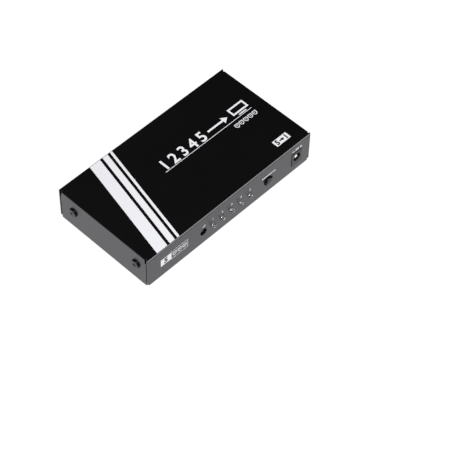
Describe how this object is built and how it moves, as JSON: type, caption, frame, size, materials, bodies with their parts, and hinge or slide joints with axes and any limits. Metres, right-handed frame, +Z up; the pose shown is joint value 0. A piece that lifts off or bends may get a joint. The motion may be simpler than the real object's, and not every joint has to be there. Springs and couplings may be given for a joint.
{
  "type": "video switch box",
  "caption": "Flat folded-steel box that passes one of several video inputs to one output, with a front push button, indicator lamps, infrared receiver and power inlet.",
  "frame": {"origin": "under the middle of the casing, on the surface that the feet stand on", "axes": "+X along the front towards the power inlet, +Y towards the video sockets at the rear, +Z up"},
  "size_m": [0.1446, 0.0803, 0.0269],
  "materials": {
    "painted_steel": "black semi-gloss paint on folded sheet steel",
    "black_screws": "black oxide on steel",
    "rubber": "matte black rubber",
    "nickel_plate": "bright nickel plate on stamped metal",
    "gold_plate": "thin gold plate",
    "black_plastic": "moulded black plastic",
    "button_plastic": "moulded black plastic, satin",
    "lamp_epoxy": "clear cast epoxy",
    "dark_epoxy": "dark infrared-passing epoxy",
    "chip_epoxy": "moulded chip epoxy",
    "tinned_wire": "tinned wire",
    "circuit_board": "green solder mask over glass laminate",
    "aluminium_can": "drawn aluminium"
  },
  "bodies": {
    "casing": {"top_cover": "painted_steel", "base_tray": "painted_steel", "end_screws": "black_screws", "rubber_feet": "rubber", "board_standoffs": "nickel_plate", "circuit_board": "circuit_board", "board_screws": "nickel_plate", "input_5_shell": "nickel_plate", "input_5_tongue": "black_plastic", "input_5_contacts": "gold_plate", "input_4_shell": "nickel_plate", "input_4_tongue": "black_plastic", "input_4_contacts": "gold_plate", "input_3_shell": "nickel_plate", "input_3_tongue": "black_plastic", "input_3_contacts": "gold_plate", "input_2_shell": "nickel_plate", "input_2_tongue": "black_plastic", "input_2_contacts": "gold_plate", "input_1_shell": "nickel_plate", "input_1_tongue": "black_plastic", "input_1_contacts": "gold_plate", "output_shell": "nickel_plate", "output_tongue": "black_plastic", "output_contacts": "gold_plate", "dc_jack_housing": "black_plastic", "dc_jack_pin": "nickel_plate", "dc_jack_leaf": "nickel_plate", "switch_body": "black_plastic", "switch_back": "black_plastic", "switch_pins": "tinned_wire", "led_1": "lamp_epoxy", "led_2": "lamp_epoxy", "led_3": "lamp_epoxy", "led_4": "lamp_epoxy", "led_5": "lamp_epoxy", "led_legs": "tinned_wire", "ir_receiver": "dark_epoxy", "ir_legs": "tinned_wire", "video_chip": "chip_epoxy", "controller_chip": "chip_epoxy", "voltage_regulator": "chip_epoxy", "surge_arrays": "chip_epoxy", "chip_leads": "tinned_wire", "filter_capacitors": "aluminium_can", "capacitor_bases": "black_plastic", "crystal_can": "nickel_plate"},
    "select_button": {"button_cap": "button_plastic", "switch_plunger": "black_plastic"}
  },
  "joints": [
    {"name": "select_press", "type": "slide", "parent": "casing", "child": "select_button", "axis": [0, 1, 0], "range_m": [0, 0.0015], "stiffness_N_per_m": 600}
  ]
}
